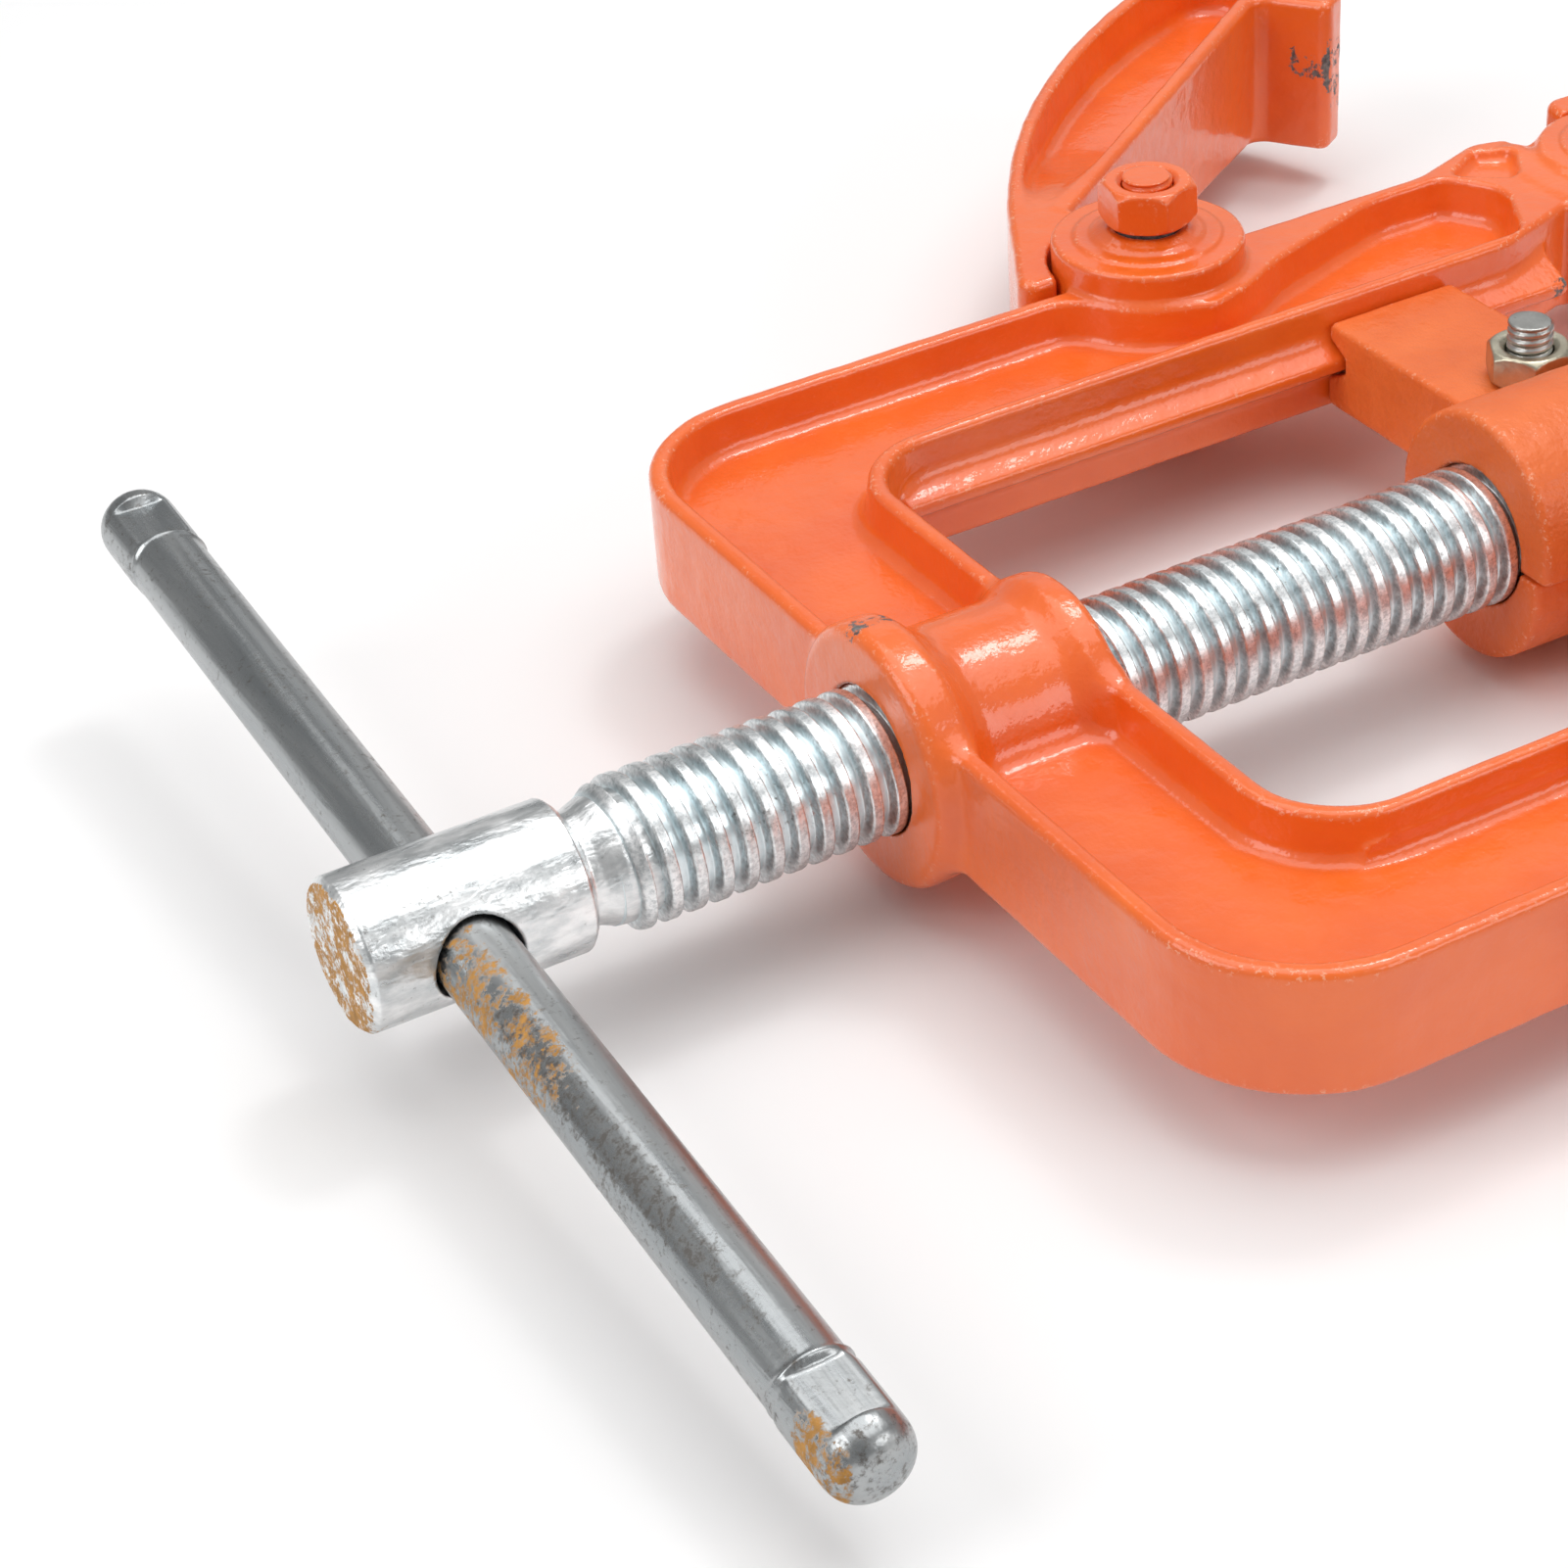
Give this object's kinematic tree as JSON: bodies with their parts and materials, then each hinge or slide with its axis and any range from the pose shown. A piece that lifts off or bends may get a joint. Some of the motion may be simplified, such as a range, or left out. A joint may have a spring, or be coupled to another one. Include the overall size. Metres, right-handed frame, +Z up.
{
  "type": "wheel clamp",
  "caption": "Screw clamp for a wheel rim: ribbed U-frame, lead screw with sliding bar, guided split slider and swinging rim hooks on pivot bolts.",
  "frame": {"origin": "middle of the object's length and width, on the surface it lies on", "axes": "+X along the lead screw away from its handle, +Y to the left rail, +Z up"},
  "size_m": [0.5028, 0.461, 0.0619],
  "materials": {
    "orange_enamel": "gloss",
    "orange_dry": "stippled satin",
    "zinc_plate": "bright zinc plate",
    "yellow_zinc": "yellow zinc plate",
    "bronze": "plain"
  },
  "bodies": {
    "frame": {"frame": "orange_enamel", "near_pivot_left_bolt": "orange_enamel", "near_pivot_left_nut": "orange_enamel", "near_pivot_right_bolt": "orange_enamel", "near_pivot_right_nut": "orange_enamel", "far_pivot_left_bolt": "orange_enamel", "far_pivot_left_nut": "orange_enamel", "far_pivot_right_bolt": "orange_enamel", "far_pivot_right_nut": "orange_enamel"},
    "slider": {"slider_body": "orange_dry", "slider_cap": "orange_dry", "thrust_washer": "bronze", "slider_left_bolt": "yellow_zinc", "slider_left_nut": "yellow_zinc", "slider_right_bolt": "yellow_zinc", "slider_right_nut": "yellow_zinc"},
    "screw": {"lead_screw": "zinc_plate"},
    "bar": {"tommy_bar": "zinc_plate"},
    "near_hook_left": {"near_hook_left": "orange_enamel"},
    "near_hook_right": {"near_hook_right": "orange_enamel"},
    "far_hook_left": {"far_hook_left": "orange_enamel"},
    "far_hook_right": {"far_hook_right": "orange_enamel"}
  },
  "joints": [
    {"name": "slider_travel", "type": "slide", "parent": "frame", "child": "slider", "axis": [1, 0, 0], "range_m": [-0.085, 0.025]},
    {"name": "screw_turn", "type": "hinge", "parent": "slider", "child": "screw", "pos_m": [-0.19721, 0, 0.0292], "axis": [1, 0, 0], "range_deg": [-6115, 1795]},
    {"name": "bar_slide", "type": "slide", "parent": "screw", "child": "bar", "axis": [0, 0.9974, 0.0715], "range_m": [-0.105, 0.105]},
    {"name": "near_swing_left", "type": "hinge", "parent": "frame", "child": "near_hook_left", "pos_m": [-0.01121, 0.113, 0.0292], "axis": [0, 0, 1], "range_deg": [-22, 4]},
    {"name": "far_swing_left", "type": "hinge", "parent": "frame", "child": "far_hook_left", "pos_m": [0.10579, 0.095, 0.0292], "axis": [0, 0, 1], "range_deg": [-10, 38]},
    {"name": "near_swing_right", "type": "hinge", "parent": "frame", "child": "near_hook_right", "pos_m": [-0.01121, -0.113, 0.0292], "axis": [0, 0, -1], "range_deg": [-22, 4]},
    {"name": "far_swing_right", "type": "hinge", "parent": "frame", "child": "far_hook_right", "pos_m": [0.10579, -0.095, 0.0292], "axis": [0, 0, -1], "range_deg": [-10, 38]}
  ],
  "couplings": [
    {"joint": "slider_travel", "follows": "screw_turn", "m_per_rad": 0.00079577}
  ]
}
